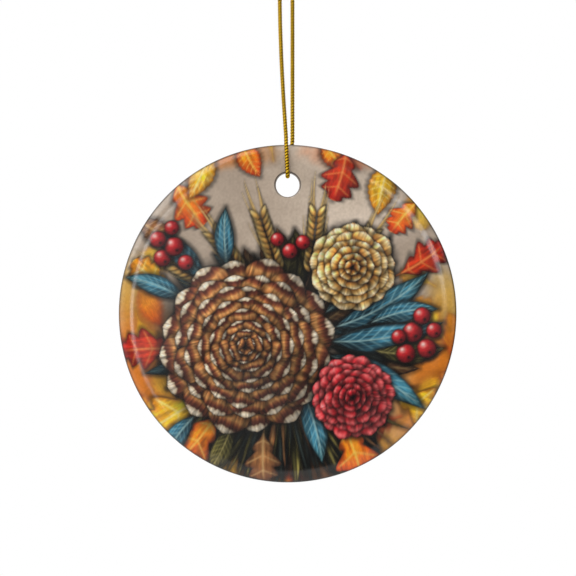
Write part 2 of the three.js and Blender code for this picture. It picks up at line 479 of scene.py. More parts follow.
# What a leaf or petal has where its own look doesn't say otherwise; lengths are millimetres
plainStroke = {"cover": 1.0, "shadow": 0, "shadowSpread": 0.9, "bandWobble": 0.02, "bandCurve": 0,
               "hair": 0.5, "hairWidth": 0.3, "hairLength": 2.6, "blot": 0.25, "crown": 0.2,
               "turnLight": 0.22, "ink": 0.4, "lobes": 0, "teeth": 0, "veins": 0, "veinSlant": 0.8}


def bladeOutline(look, t, side, width):
    # Half the width of a leaf or petal at each spot, as a share, and where its veins fall
    if look["lobes"]:
        stem = look["stem"]
        u = np.clip((t - stem) / (1 - stem), 0, 1)
        belly = look["belly"]
        grow = 0.14 + 0.86 * ease(u / belly) ** 0.8
        close = np.sqrt(np.clip(1 - ((u - belly) / (1 - belly)) ** 2, 0, 1))
        slant = np.clip(u - look["slant"] * np.abs(side) / width * np.clip((1 - u) / 0.2, 0, 1), 0, 1)
        wave = 0.5 + 0.5 * np.cos(2 * np.pi * (slant * look["lobes"] - 0.5))
        deep = look["lobeDepth"]
        outline = np.where(u < belly, grow, close) * (1 - deep + deep * wave**0.6)
        return np.where(t < stem, 0.35 / width, outline), (slant * look["lobes"]) % 1
    inner = np.clip(t, 0, 1)
    outline = np.sin(np.pi * inner ** look["full"]) ** look["point"]
    if look["teeth"]:
        outline = outline * (1 - 0.1 * np.abs(((inner * look["teeth"]) % 1) - 0.5) * 2)
    share = np.clip(np.abs(side) / np.maximum(width / 2 * outline, 0.05), 0, 1)
    return outline, (t * look["veins"] - share * look["veinSlant"]) % 1


def blade(painting, base, angle, length, width, look, turn=0.0, seed=0, tone=1.0, soft=0.3):
    # One leaf or petal from its base: t runs along its midrib, side is how far to its left a spot lies
    look = {**plainStroke, **look}
    c, s = math.cos(angle), math.sin(angle)
    index = painting.near(base[0] + c * length / 2, base[1] + s * length / 2, length * 0.62 + width + 2)
    if not len(index):
        return
    dx, dz = painting.x[index] - base[0], painting.z[index] - base[1]
    along, side = dx * c + dz * s, dz * c - dx * s
    if abs(turn) > 0.01:
        radius, sign = length / abs(turn), math.copysign(1, turn)
        off = sign * side - radius
        along, side = radius * np.arctan2(along, -off), sign * (radius - np.hypot(along, off))
    t = along / length
    outline, veinPlace = bladeOutline(look, t, side, width)
    half = width / 2 * outline
    beyond = (np.maximum(t - 1, 0) + np.maximum(-t, 0)) * length
    inside = half - np.hypot(side, beyond)
    spread = look["shadowSpread"]
    painting.darken(index, look["shadow"] * ease((inside + spread) / spread) * (inside > -spread))
    cover = ease(inside / soft + 0.5) * look["cover"]
    keep = cover > 0.004
    index, t, side, half, inside, cover, veinPlace = (
        a[keep] for a in (index, t, side, half, inside, cover, veinPlace)
    )
    share = np.clip(np.abs(side) / np.maximum(half, 0.05), 0, 1)
    wobble = look["bandWobble"] * (spotNoise(side * 2.2, t * 0, seed + 3) - 0.5) * 2
    place = np.clip(t + look["bandCurve"] * share**2, 0, 1) + wobble
    stops, shades = zip(*look["stops"])
    colour = np.stack([np.interp(place, stops, channel) for channel in zip(*shades)], 1)
    if "edge" in look:
        colour = toward(colour, look["edge"], ease((share - 0.45) / 0.55) * look["edgeCover"])
    # Fine brush hairs that run along the blade, and a slow change of tone over it
    hair = spotNoise(side / look["hairWidth"], t * length / look["hairLength"], seed) - 0.5
    hair += 0.5 * (spotNoise(side / 0.7, t * length / 5, seed + 9) - 0.5)
    blot = cloud(painting.x[index], painting.z[index], 3.2, seed) - 0.5
    colour = colour * (1 + look["hair"] * hair + look["blot"] * blot)[:, None]
    if look["veins"]:
        line = np.exp(-(((veinPlace - 0.5) / look["veinWidth"]) ** 2)) * ease((1.02 - share) / 0.3)
        colour = toward(colour, look["veinColour"], line * look["veinCover"])
    if "rib" in look:
        line = np.exp(-((side / look["ribWidth"]) ** 2)) * ease((1 - t) / 0.25)
        colour = toward(colour, look["rib"], line * look["ribCover"])
    # The side that faces the light is brighter, and each blade is crowned
    facing = lightZ * math.cos(angle) - lightX * math.sin(angle)
    lit = 1 + look["crown"] * (0.5 - share**2) + look["turnLight"] * share * np.sign(side) * facing
    inked = look["ink"] * np.exp(-((np.maximum(inside, 0) / 0.3) ** 2))
    painting.lay(index, colour * (lit * (1 - inked) * tone)[:, None], cover)
    strong = cover > 0.5
    painting.along[index[strong]] = t[strong] * length
    painting.across[index[strong]] = side[strong] + seed * 1.7


def wash(painting, x, z, wide, high, colour, cover, seed):
    index = painting.near(x, z, max(wide, high) * 1.6)
    u, v = (painting.x[index] - x) / wide, (painting.z[index] - z) / high
    far = np.hypot(u, v) + 0.7 * (cloud(painting.x[index], painting.z[index], 6, seed) - 0.5)
    painting.lay(index, np.asarray(colour, float), ease(1.25 - far) * cover)


def bloom(painting, x, z, radius, rings, look, seed, sunk=0.0):
    # A many-petalled flower, from its outer ring inwards; sunk darkens it towards its heart
    rng = np.random.default_rng(seed)
    index = painting.near(x, z, radius * 1.3)
    far = np.hypot(painting.x[index] - x, painting.z[index] - z)
    painting.darken(index, 0.7 * ease((radius * 1.16 - far) / (radius * 0.3)))
    for k, (tipShare, count, lengthShare) in enumerate(rings):
        tip = radius * tipShare
        start = rng.random() * 2 * math.pi
        for i in np.argsort(rng.random(count)):
            angle = start + 2 * math.pi * (i + 0.2 * (rng.random() - 0.5)) / count
            length = max(tip * lengthShare, radius * 0.1) * (0.94 + 0.12 * rng.random())
            reach = tip * (0.96 + 0.08 * rng.random())
            base = (x + math.cos(angle) * (reach - length), z + math.sin(angle) * (reach - length))
            tone = 0.88 + 0.18 * rng.random() - sunk * k / len(rings)
            tone *= 1 + 0.14 * (lightZ * math.sin(angle) + lightX * math.cos(angle))
            width = 2 * math.pi * tip / count * 1.24
            blade(painting, base, angle + 0.1 * (rng.random() - 0.5), length, width, look,
                  0.3 * (rng.random() - 0.5), seed * 31 + k * 17 + int(i), tone)


def berry(painting, x, z, radius, seed):
    index = painting.near(x, z, radius * 2)
    dx, dz = (painting.x[index] - x) / radius, (painting.z[index] - z) / radius
    far = np.hypot(dx, dz)
    painting.darken(index, 0.6 * ease((1.45 - np.hypot(dx - 0.12, dz + 0.16)) / 0.5))
    light = np.clip(1 - np.hypot(dx + 0.34, dz - 0.36) / 1.45, 0, 1)
    colour = toward(np.full((len(index), 3), (84.0, 8, 16)), (206, 34, 40), ease(light * 1.25))
    colour = toward(colour, (240, 132, 122), 0.8 * ease((light - 0.62) / 0.3))
    glint = np.exp(-((np.hypot(dx + 0.38, dz - 0.42) / 0.2) ** 2))
    colour = toward(colour, (255, 235, 225), 0.85 * glint)
    shade = 1 + 0.25 * (spotNoise(np.arctan2(dz, dx) * 4, far * 3, seed) - 0.5)
    shade *= 1 - 0.75 * np.exp(-((np.hypot(dx - 0.3, dz + 0.4) / 0.17) ** 2))
    shade *= 1 - 0.45 * ease((far - 0.8) / 0.2)
    painting.lay(index, colour * shade[:, None], ease((1 - far) * radius / 0.25 + 0.5))


def wheatEar(painting, x, z, angle, length, seed):
    rng = np.random.default_rng(seed)
    c, s = math.cos(angle), math.sin(angle)
    grains = printFacts["grains"]
    for layer in ("awns", "grains"):
        for i in range(grains):
            share = i / (grains - 1)
            for side in (-1, 1):
                foot = (x + c * length * share - side * s * 0.3, z + s * length * share + side * c * 0.3)
                if layer == "awns":
                    lean = angle + side * (0.34 - 0.12 * share) + 0.08 * (rng.random() - 0.5)
                    reach = length * (0.62 + 0.3 * rng.random())
                    blade(painting, foot, lean, reach, 0.42, printLooks["awn"], -side * 0.25, seed + i)
                else:
                    blade(painting, foot, angle + side * 0.5, length * 0.25, length * 0.1,
                          printLooks["grain"], 0, seed * 7 + i, 0.86 + 0.24 * rng.random())


# Colours and shapes of the motifs; stops run from a blade's base to its tip
leafStroke = {"hair": 0.42, "hairWidth": 0.4, "hairLength": 1.8, "blot": 0.5, "shadow": 0.4,
              "shadowSpread": 1.3, "ink": 0.3, "crown": 0.16, "turnLight": 0.2}
oakShape = {**leafStroke, "lobes": 3.5, "lobeDepth": 0.4, "slant": 0.34, "stem": 0.14, "belly": 0.6,
            "veins": 1, "veinWidth": 0.07, "veinCover": 0.7, "ribWidth": 0.28, "ribCover": 0.75}
beechShape = {**leafStroke, "full": 0.85, "point": 0.85, "teeth": 9, "veins": 8, "veinSlant": 1.1,
              "veinWidth": 0.12, "veinCover": 0.6, "ribWidth": 0.25, "ribCover": 0.75}
longShape = {"full": 0.95, "point": 0.95, "shadow": 0.5, "shadowSpread": 1.2, "bandCurve": 0.1,
             "hair": 0.85, "hairWidth": 0.26, "hairLength": 3.0, "veins": 10, "veinSlant": 1.7,
             "veinWidth": 0.13, "veinCover": 0.5, "ribWidth": 0.2, "ribCover": 0.7, "crown": 0.1,
             "turnLight": 0.36, "ink": 0.45, "blot": 0.5}
petalShape = {"full": 1.5, "point": 0.7, "shadow": 0.42, "shadowSpread": 1.2, "bandCurve": -0.05,
              "bandWobble": 0.03, "hair": 0.6, "hairWidth": 0.3, "hairLength": 2.4, "crown": 0.2,
              "turnLight": 0.2, "ink": 0.42}


def tint(stops, edge, edgeCover, rib, vein):
    return {"stops": stops, "edge": edge, "edgeCover": edgeCover, "rib": rib, "veinColour": vein}


orange = tint([(0, (208, 116, 20)), (0.4, (244, 134, 20)), (0.75, (232, 90, 14)), (1, (178, 44, 16))],
              (186, 48, 18), 0.6, (250, 200, 88), (240, 184, 86))
gold = tint([(0, (198, 142, 24)), (0.5, (238, 186, 36)), (1, (224, 130, 22))],
            (190, 106, 34), 0.6, (244, 224, 150), (240, 216, 130))
red = tint([(0, (156, 42, 16)), (0.5, (212, 58, 22)), (1, (156, 26, 18))],
           (110, 22, 22), 0.6, (232, 148, 76), (224, 128, 64))
brown = tint([(0, (98, 60, 34)), (0.5, (146, 96, 54)), (1, (106, 62, 38))],
             (70, 40, 28), 0.6, (202, 164, 108), (190, 148, 94))
teal = tint([(0, (22, 40, 46)), (0.3, (36, 82, 100)), (0.6, (64, 124, 146)), (0.85, (48, 98, 112)),
             (1, (30, 58, 62))], (24, 50, 58), 0.4, (168, 196, 190), (150, 188, 188))
olive = tint([(0, (30, 28, 16)), (0.4, (70, 66, 30)), (0.75, (118, 106, 50)), (1, (70, 62, 32))],
             (34, 32, 18), 0.4, (178, 162, 96), (156, 144, 82))
dark = tint([(0, (14, 16, 14)), (0.5, (36, 46, 44)), (1, (24, 30, 28))],
            (16, 20, 20), 0.4, (84, 98, 88), (66, 82, 78))
printLooks = {
    "brownPetal": {**petalShape, "stops": [
        (0, (52, 26, 20)), (0.42, (104, 60, 34)), (0.56, (158, 100, 54)), (0.68, (186, 132, 76)),
        (0.74, (134, 76, 44)), (0.79, (92, 46, 32)), (0.845, (70, 36, 28)), (0.875, (178, 158, 130)),
        (0.93, (202, 190, 170)), (1, (168, 146, 118))]},
    "creamPetal": {**petalShape, "stops": [
        (0, (86, 42, 20)), (0.4, (166, 96, 40)), (0.62, (212, 150, 70)), (0.8, (230, 194, 128)),
        (0.92, (236, 216, 176)), (1, (190, 134, 78))]},
    "redPetal": {**petalShape, "point": 0.55, "stops": [
        (0, (60, 8, 16)), (0.4, (132, 18, 28)), (0.68, (192, 36, 44)), (0.88, (228, 104, 102)),
        (1, (160, 28, 38))]},
    "grain": {**leafStroke, "full": 0.8, "point": 0.8, "shadow": 0.45, "shadowSpread": 0.6,
              "hairWidth": 0.3, "stops": [(0, (140, 92, 42)), (0.5, (212, 168, 88)),
                                          (0.85, (238, 210, 142)), (1, (160, 112, 58))]},
    "awn": {"full": 0.5, "point": 0.8, "hair": 0.2, "shadow": 0.12, "shadowSpread": 0.5, "ink": 0,
            "cover": 0.85, "stops": [(0, (186, 146, 80)), (1, (222, 190, 126))]},
}
for name, shape, colours in (
    ("orangeOak", oakShape, orange), ("goldOak", oakShape, gold), ("redOak", oakShape, red),
    ("brownOak", oakShape, brown), ("orangeBeech", beechShape, orange), ("goldBeech", beechShape, gold),
    ("brownBeech", beechShape, brown), ("teal", longShape, teal), ("olive", longShape, olive),
    ("dark", longShape, dark),
):
    printLooks[name] = {**shape, **colours}
for name, colours in (("grassLight", olive), ("grassDark", dark), ("grassTan", brown)):
    printLooks[name] = {**longShape, **colours, "full": 0.6, "veins": 0, "ribCover": 0.35, "shadow": 0.35}


def layBackground(painting):
    # A clouded grey-beige sky that warms towards the foot, with soft leaves out of focus round the edge
    x, z = painting.x, painting.z
    sky = ease((cloud(x, z * 1.6, 26, 2) - 0.22) / 0.55)
    painting.colour[:] = toward(np.full((len(x), 3), (158.0, 141, 124)), (206, 189, 171), sky)
    painting.colour = toward(painting.colour, (182, 112, 46), 0.6 * ease((-z - 2) / 26))
    for wx, wz, wide, high, colour, cover in (
        (-32, -12, 11, 17, (234, 122, 20), 0.85), (-34, 6, 6, 8, (234, 168, 42), 0.6),
        (32, -14, 10, 18, (232, 124, 18), 0.9), (35, 2, 5, 8, (238, 176, 46), 0.65),
        (0, -35, 24, 8, (96, 56, 30), 0.9), (-19, -31, 11, 7, (204, 82, 22), 0.8),
        (21, -31, 10, 7, (232, 156, 30), 0.8), (-14, 35, 12, 4, (230, 116, 28), 0.7),
        (14, 35, 13, 4, (224, 88, 24), 0.7),
    ):
        wash(painting, wx, wz, wide, high, colour, cover, int(wx) % 13)
    rng = np.random.default_rng(5)
    soft = {"veins": 0, "ribCover": 0, "hair": 0.15, "ink": 0, "shadow": 0.12, "shadowSpread": 2.4,
            "cover": 0.7}
    for i in range(printFacts["softLeaves"]):
        angle = 2 * math.pi * i / printFacts["softLeaves"]
        look = {**printLooks[("orangeBeech", "goldOak", "redOak", "goldBeech")[i % 4]], **soft}
        if math.sin(angle) < 0.35 or i % 3 == 0:
            reach = 30 + 6 * rng.random()
            blade(painting, (reach * math.cos(angle), reach * math.sin(angle)), 6.3 * rng.random(),
                  8 + 5 * rng.random(), 5 + 3 * rng.random(), look, rng.random() - 0.5, 900 + i, soft=1.8)


def layLeaves(painting, leaves, seed):
    # Each leaf: base x and z, the way it points in degrees, length, width, turn, look
    for i, (x, z, pointing, length, width, turn, look) in enumerate(leaves):
        blade(painting, (x, z), math.radians(pointing), length, width, printLooks[look], turn, seed + i)


def layUndergrowth(painting):
    # Dark leaves that fill the bunch behind its flowers, then grasses that fan out below
    rng = np.random.default_rng(9)
    for i in range(printFacts["fillLeaves"]):
        angle = 2 * math.pi * rng.random()
        start = 4 + 13 * rng.random() ** 0.7
        lift = 0.72 if math.sin(angle) > 0 else 1.0
        look = ("dark", "teal", "olive", "dark", "teal", "brownBeech")[i % 6]
        blade(painting, (1 + start * math.cos(angle), -6 + start * lift * math.sin(angle)),
              angle + 0.5 * (rng.random() - 0.5), 11 + 6 * rng.random(), 3.6 + 1.6 * rng.random(),
              printLooks[look], rng.random() - 0.5, 300 + i, 0.5 + 0.4 * rng.random())
    for i in range(printFacts["grasses"]):
        angle = math.radians(-92 + 120 * (rng.random() - 0.5))
        start = 6 + 10 * rng.random()
        look = ("grassDark", "grassLight", "grassTan", "grassDark", "grassLight")[i % 5]
        blade(painting, (-1 + start * math.cos(angle), -10 + start * math.sin(angle)),
              angle + 0.16 * (rng.random() - 0.5), 11 + 6 * rng.random(), 0.9 + 0.7 * rng.random(),
              printLooks[look], 0.5 * (rng.random() - 0.5), 500 + i, 0.8 + 0.5 * rng.random())


def paintPrint(painting):
    layBackground(painting)
    layLeaves(painting, (
        (-25, 30, -66, 13, 8.5, 0.3, "orangeOak"), (-17, 35, -104, 11, 6, -0.3, "goldBeech"),
        (-10, 37, -70, 8.5, 5.5, 0.3, "orangeBeech"), (8, 37.5, -66, 8, 5, 0.3, "orangeBeech"),
        (13, 37, -96, 13, 8.5, -0.3, "redOak"), (22, 32, -112, 11, 6.5, 0.3, "goldBeech"),
        (29, 25, -140, 10, 6.5, 0.3, "orangeOak"), (-32, 20, -30, 10, 5.5, -0.3, "brownBeech"),
    ), 40)
    layUndergrowth(painting)
    for i, (x, z, pointing, length) in enumerate((
        (-2, 9, 108, 12), (5, 9, 84, 12), (-8, 7, 128, 12), (12, 6, 62, 12), (-13, 4, 150, 12),
    )):
        stalk = math.hypot(x, z + 6) + 1
        blade(painting, (0, -6), math.atan2(z + 6, x), stalk, 0.8, printLooks["grassTan"], 0, i)
        wheatEar(painting, x, z, math.radians(pointing), length, 60 + i)
    layLeaves(painting, (
        (-15, -17, -158, 19, 11, 0.3, "goldOak"), (-14, -20, -122, 18, 10.5, -0.3, "orangeOak"),
        (-22, -8, 172, 14, 9, 0.3, "redOak"), (-5, -24, -96, 13, 8, 0.2, "brownOak"),
        (11, -22, -62, 17, 10, -0.3, "orangeOak"), (21, -15, -36, 16, 9.5, 0.3, "goldOak"),
        (-24, 4, 150, 12, 7.5, -0.3, "goldOak"), (23, 8, 24, 13, 8, 0.3, "redOak"),
    ), 120)
    layLeaves(painting, (
        (6, 3, 58, 19, 5.0, -0.4, "teal"), (8, 0, 38, 22, 5.4, 0.4, "teal"),
        (10, -3, 16, 24, 5.8, 0.5, "teal"), (9, -6, -2, 25, 6.0, 0.4, "teal"),
        (9, -9, -18, 24, 5.8, -0.4, "teal"), (7, -12, -38, 19, 5.4, -0.5, "olive"),
        (3, -16, -66, 17, 5.2, -0.3, "teal"), (18, -2, 26, 15, 4.4, -0.5, "teal"),
        (19, -8, -12, 15, 4.4, 0.5, "olive"), (-18, 7, 122, 15, 4.6, 0.5, "teal"),
        (-22, 3, 148, 14, 4.4, 0.4, "teal"), (-13, 10, 100, 13, 4.2, -0.3, "teal"),
        (-20, -22, -136, 14, 4.6, 0.4, "teal"), (-12, -24, -108, 12, 4.4, -0.3, "olive"),
    ), 80)
    # Each ring of a flower: its reach, how many petals it has, and their length as a share of the reach
    bloom(painting, -9, -7, 19, (
        (1, 16, 0.56), (0.84, 15, 0.58), (0.69, 14, 0.6), (0.55, 12, 0.64), (0.42, 10, 0.7),
        (0.3, 8, 0.78), (0.19, 6, 0.86), (0.1, 5, 0.95)), printLooks["brownPetal"], 3)
    bloom(painting, 14, 10, 9.5, (
        (1, 13, 0.55), (0.84, 12, 0.57), (0.67, 11, 0.6), (0.5, 9, 0.66), (0.33, 7, 0.76),
        (0.17, 5, 0.9)), printLooks["creamPetal"], 8, 0.1)
    bloom(painting, 14, -18, 9, (
        (1, 16, 0.6), (0.84, 15, 0.62), (0.67, 13, 0.66), (0.5, 11, 0.7), (0.33, 8, 0.8),
        (0.18, 5, 0.9)), printLooks["redPetal"], 14, 0.12)
    for i, (x, z, radius) in enumerate((
        (27, -4, 2.2), (30, -7.5, 2.1), (25.5, -8.6, 2.1), (29, -0.5, 1.9), (31.6, -3.6, 1.7),
        (24, -5, 1.6), (-27, 12, 1.9), (-24.5, 14.5, 2.1), (-28, 16, 1.8), (-22, 11, 1.7),
        (-25, 18.5, 1.6), (0.5, 13.5, 1.7), (3.3, 15.4, 1.6), (-2.2, 16, 1.5),
    )):
        berry(painting, x, z, radius, 200 + i)
    size = printFacts["grainSize"]
    grain = spotNoise(painting.x / size, painting.z / size, 21) - 0.5
    painting.colour *= (1 + printFacts["grain"] * grain)[:, None]
    # Painted shade on the outer rim, where the picture turns away from the front
    far = np.hypot(painting.x, painting.z)
    turned = ease((far - printFacts["rimShadeFrom"]) / printFacts["rimShadeOver"])
    painting.darken(np.arange(len(far)), printFacts["rimShade"] * turned)


# Ceramic: sizes of the blank in millimetres, seen from its own middle. The front of the hole gets a painted
# shade. It fades out between its two radii from the hole's middle, and between its two depths from the front
ceramicFacts = {
    "rimRoundWidth": 3.4, "rimRoundDepth": 1.2, "backEdgeRadius": 0.5, "wallSeam": 0.3,
    "cells": 120, "rimSteps": 4, "backEdgeSteps": 8, "backLipSteps": 6, "frontLipSteps": 4,
    "glazeColour": (0.8, 0.775, 0.735, 1), "speckColour": (0.42, 0.36, 0.28, 1),
    "holeShadeColour": (0.2, 0.16, 0.13, 1), "holeShadeRadii": (3.3, 3.5), "holeShadeDepths": (0.4, 0.7),
}
# Coat: the thin layer that holds the print. Round the hole's lip it gets a painted shade, darkest at the top
coatFacts = {"thickness": 0.1, "cells": 296, "rimSteps": 24, "underSteps": 3, "lipSteps": 3,
             "lipShade": 0.46, "lipShadeSwing": 0.46, "lipShadeInset": 0.02, "lipShadeFade": 0.25}
# Rings of cells go round the hole out to this many times the radius of its lip
ringReach = 2.6
holeRadius = holeFacts["diameter"] / 2
lip = holeFacts["lipRadius"]
lipOuter = holeRadius + lip
holeHeight = discRadius / mm - holeFacts["webAbove"] - holeRadius
inset, backRound = coatFacts["thickness"], ceramicFacts["backEdgeRadius"]
front, back, radiusMm = frontY / mm, backY / mm, discRadius / mm  # in millimetres
rimFoot = front + ceramicFacts["rimRoundDepth"]
# The ceramic's lip stops where the coat's takes over, this many degrees short of the flat
lipShort = math.degrees(math.acos(1 - inset / lip))


def ellipseArc(centre, radii, fromAngle, toAngle, steps):
    angles = np.radians(np.linspace(fromAngle, toAngle, steps + 1))
    return np.stack([centre[0] + radii[0] * np.cos(angles), centre[1] + radii[1] * np.sin(angles)], 1)


def rimArc(drawnIn, steps):
    # The rounded front rim, from the flat face out to the side wall, as radius and y
    wide, deep = ceramicFacts["rimRoundWidth"], ceramicFacts["rimRoundDepth"]
    return ellipseArc((radiusMm - wide, rimFoot), (wide - drawnIn, deep - drawnIn), -90, 0, steps)


def lipArc(y, fromAngle, toAngle, steps):
    # The hole's rounded lip, as radius and y, without the point that it starts from
    return ellipseArc((lipOuter, y), (lip, lip), fromAngle, toAngle, steps)[1:]


def piercedFace(bm, cells, profile):
    # A square grid is eased into a round face with a round hole; profile is its section, from the flat
    # to its edge. The print place of a vertex is its spot on the face, measured along the surface
    placeLayer = bm.verts.layers.float_vector["printPlace"]
    lengths = np.concatenate([[0], np.cumsum(np.linalg.norm(np.diff(profile, axis=0), axis=1))])
    flat = profile[0][0]
    spread = flat + lengths[-1]
    pitch = 2 * spread / cells
    halfWide = round(lipOuter / (pitch * math.pi / 4)) * pitch * math.pi / 4
    halfHigh = round(lipOuter / pitch) * pitch
    holeLine = round(holeHeight / pitch) * pitch
    made = bmesh.ops.create_grid(bm, x_segments=cells, y_segments=cells, size=1)["verts"]
    inHole = []
    for vert in made:
        a, b = vert.co.x, vert.co.y
        if a == 0 and b == 0:
            far, angle = 0, 0
        elif abs(a) > abs(b):
            far, angle = a, math.pi / 4 * b / a
        else:
            far, angle = b, math.pi / 2 - math.pi / 4 * a / b
        x, z = spread * far * math.cos(angle), spread * far * math.sin(angle)
        # Near the hole the grid's squares turn into rings. Ring 1 is its edge, and what is inside goes
        u, v = spread * math.pi / 4 * a / halfWide, (spread * b - holeLine) / halfHigh
        ring = max(abs(u), abs(v))
        if ring < 1 - 1e-6:
            inHole.append(vert)
        elif ring < ringReach and b > 0:
            swing = math.pi / 4 * v / u if abs(u) > abs(v) else math.pi / 2 - math.pi / 4 * u / v
            reach = lipOuter * ring * math.copysign(1, u if abs(u) > abs(v) else v)
            share = float(ease((ring - 1) / (ringReach - 1)))
            x = x * share + reach * math.cos(swing) * (1 - share)
            z = z * share + (holeHeight + reach * math.sin(swing)) * (1 - share)
        spot = math.hypot(x, z)
        radius, y = spot, profile[0][1]
        if spot > flat:
            radius = float(np.interp(spot - flat, lengths, profile[:, 0]))
            y = float(np.interp(spot - flat, lengths, profile[:, 1]))
        scale = radius / spot if spot else 1
        vert.co = Vector((x * scale, y, z * scale))
        vert[placeLayer] = (x, 0, z)
    bmesh.ops.delete(bm, geom=inHole, context="VERTS")
    rings = {True: [], False: []}
    for border in (edge for edge in bm.edges if edge.is_boundary):
        rings[border.verts[0].co.xz.length > flat].append(border)
    return rings[True], rings[False]


def pullRing(bm, ring, section, centreZ=0.0):
    # The edge loop is extruded through each radius and y of the section, round the given centre
    for radius, y in section:
        made = bmesh.ops.extrude_edge_only(bm, edges=ring)["geom"]
        ring = [item for item in made if isinstance(item, bmesh.types.BMEdge)]
        for vert in (item for item in made if isinstance(item, bmesh.types.BMVert)):
            aside = Vector((vert.co.x, 0, vert.co.z - centreZ)).normalized() * radius
            vert.co = Vector((aside.x, y, aside.z + centreZ))
        ring = [edge for edge in ring if edge.is_boundary]
    return ring


def newFaceMesh():
    bm = bmesh.new()
    bm.verts.layers.float_vector.new("printPlace")
    return bm


def closePiece(name, bm, outer, inner, material):
    bmesh.ops.bridge_loops(bm, edges=outer + inner)
    bmesh.ops.recalc_face_normals(bm, faces=bm.faces)
    bmesh.ops.translate(bm, verts=bm.verts, vec=(0, 0, discCentreZ / mm))
    bmesh.ops.scale(bm, verts=bm.verts, vec=(mm, mm, mm))
    return finishPiece(name, bm, material)


def whiteGlaze():
    material, tree, shader = newMaterial("white glaze", {"IOR": 1.45})
    place = addNode(tree, "TexCoord").outputs["Object"]
    ripple = placeRipple(tree, place, 210.0, 0.5)
    pale = placeDrift(tree, ceramicFacts["glazeColour"], place, 38.0, 0.05)
    specks = addMath(tree, "MULTIPLY", ripple["Pits"], 0.7)
    glaze = mixColour(tree, "MIX", specks, pale, ceramicFacts["speckColour"])
    # Painted shade at the front of the hole's wall, fading away from the lip and towards the back
    fromHole = distanceFrom(tree, place, discCentreZ + holeHeight * mm, along=(1, 0, 1))
    atLip = remap(tree, fromHole, [radius * mm for radius in ceramicFacts["holeShadeRadii"]], (1, 0))
    depth = addNode(tree, "SeparateXYZ", {0: place}).outputs["Y"]
    atFront = remap(tree, depth, [frontY + deep * mm for deep in ceramicFacts["holeShadeDepths"]], (1, 0))
    inked = addMath(tree, "MULTIPLY", atLip, atFront)
    colour = mixColour(tree, "MIX", inked, glaze, ceramicFacts["holeShadeColour"])
    feed(tree, shader.inputs["Base Color"], colour)
    feed(tree, shader.inputs["Roughness"], remap(tree, ripple["Haze"], (0, 1), (0.15, 0.23)))
    addBump(tree, shader, ripple["Height"], 0.00012, 0.35)
    return material


bm = newFaceMesh()
backEdge = ellipseArc((radiusMm - backRound, back - backRound), (backRound, backRound), 90, 0,
                      ceramicFacts["backEdgeSteps"])
outer, inner = piercedFace(bm, ceramicFacts["cells"], backEdge)
seamY = back - backRound - ceramicFacts["wallSeam"]
outer = pullRing(bm, outer, [(radiusMm, seamY), (radiusMm, rimFoot)])
outer = pullRing(bm, outer, rimArc(inset, ceramicFacts["rimSteps"])[::-1])
inner = pullRing(bm, inner, lipArc(back - lip, 90, 180, ceramicFacts["backLipSteps"]), holeHeight)
inner = pullRing(bm, inner, [(holeRadius, 0), (holeRadius, front + lip)], holeHeight)
frontLip = lipArc(front + lip, 180, 270 - lipShort, ceramicFacts["frontLipSteps"])
inner = pullRing(bm, inner, frontLip, holeHeight)
glazedCeramic = closePiece("glazedCeramic", bm, outer, inner, whiteGlaze())
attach(glazedCeramic, "disc")
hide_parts("ceramic_disc")
print("ceramic blank made")


# The printed coat: the front face, its rounded rim and the front of the hole's lip
def printedGlaze():
    material, tree, shader = newMaterial("printed glaze", {"IOR": 1.5})
    place = addNode(tree, "TexCoord").outputs["Object"]
    # The print's colours, with painted shade at the rim and round the hole's lip
    printed = addNode(tree, "Attribute", attribute_name="printAndShadeColour").outputs["Color"]
    stroke = addNode(tree, "Attribute", attribute_name="brushStroke").outputs["Vector"]
    # Fine brush hairs between the spots of the painting
    along = addNode(tree, "Mapping", {"Vector": stroke, "Scale": (0.8, 7.0, 1.0)}).outputs[0]
    level = remap(tree, addNoise(tree, along, 1.0, 2.0, 0.6), (0.3, 0.7), (0.84, 1.14))
    drift = placeDrift(tree, scaleColour(tree, printed, level), place, 55.0, 0.05)
    feed(tree, shader.inputs["Base Color"], drift)
    ripple = placeRipple(tree, place, 130.0, 0.25)
    feed(tree, shader.inputs["Roughness"], remap(tree, ripple["Haze"], (0.3, 0.7), (0.13, 0.22)))
    addBump(tree, shader, ripple["Height"], 0.0001, 0.14)
    return material


def inkAndShadeCoat(piece):
    # The painting gives each vertex its colour, the print with painted shade at the rim and round the hole's
    # lip, and the run of the brush stroke that it lies in
    mesh = piece.data
    count = len(mesh.vertices)
    places = np.zeros(count * 3)
    mesh.attributes["printPlace"].data.foreach_get("vector", places)
    painting = Painting(places.reshape(-1, 3)[:, [0, 2]])
    paintPrint(painting)
    # Painted shade round the lip of the hole, darkest at its top
    spots = np.zeros(count * 3)
    mesh.vertices.foreach_get("co", spots)
    spots = spots.reshape(-1, 3) / mm
    aboveHole = spots[:, 2] - discCentreZ / mm - holeHeight
    fromHole = np.hypot(spots[:, 0], aboveHole)
    swing = coatFacts["lipShadeSwing"] * aboveHole / np.maximum(fromHole, holeRadius / 2)
    atLip = ease((lipOuter - coatFacts["lipShadeInset"] - fromHole) / coatFacts["lipShadeFade"])
    painting.darken(np.arange(count), (coatFacts["lipShade"] + swing) * atLip)
    shown = np.clip(painting.colour, 0, 255) / 255
    linear = np.where(shown < 0.04045, shown / 12.92, ((shown + 0.055) / 1.055) ** 2.4)
    colours = np.concatenate([linear, np.ones((count, 1))], 1)
    printed = mesh.color_attributes.new("printAndShadeColour", "FLOAT_COLOR", "POINT")
    printed.data.foreach_set("color", colours.ravel())
    strokes = np.stack([painting.along, painting.across, np.zeros(count)], 1)
    brushed = mesh.attributes.new("brushStroke", "FLOAT_VECTOR", "POINT")
    brushed.data.foreach_set("vector", strokes.ravel())


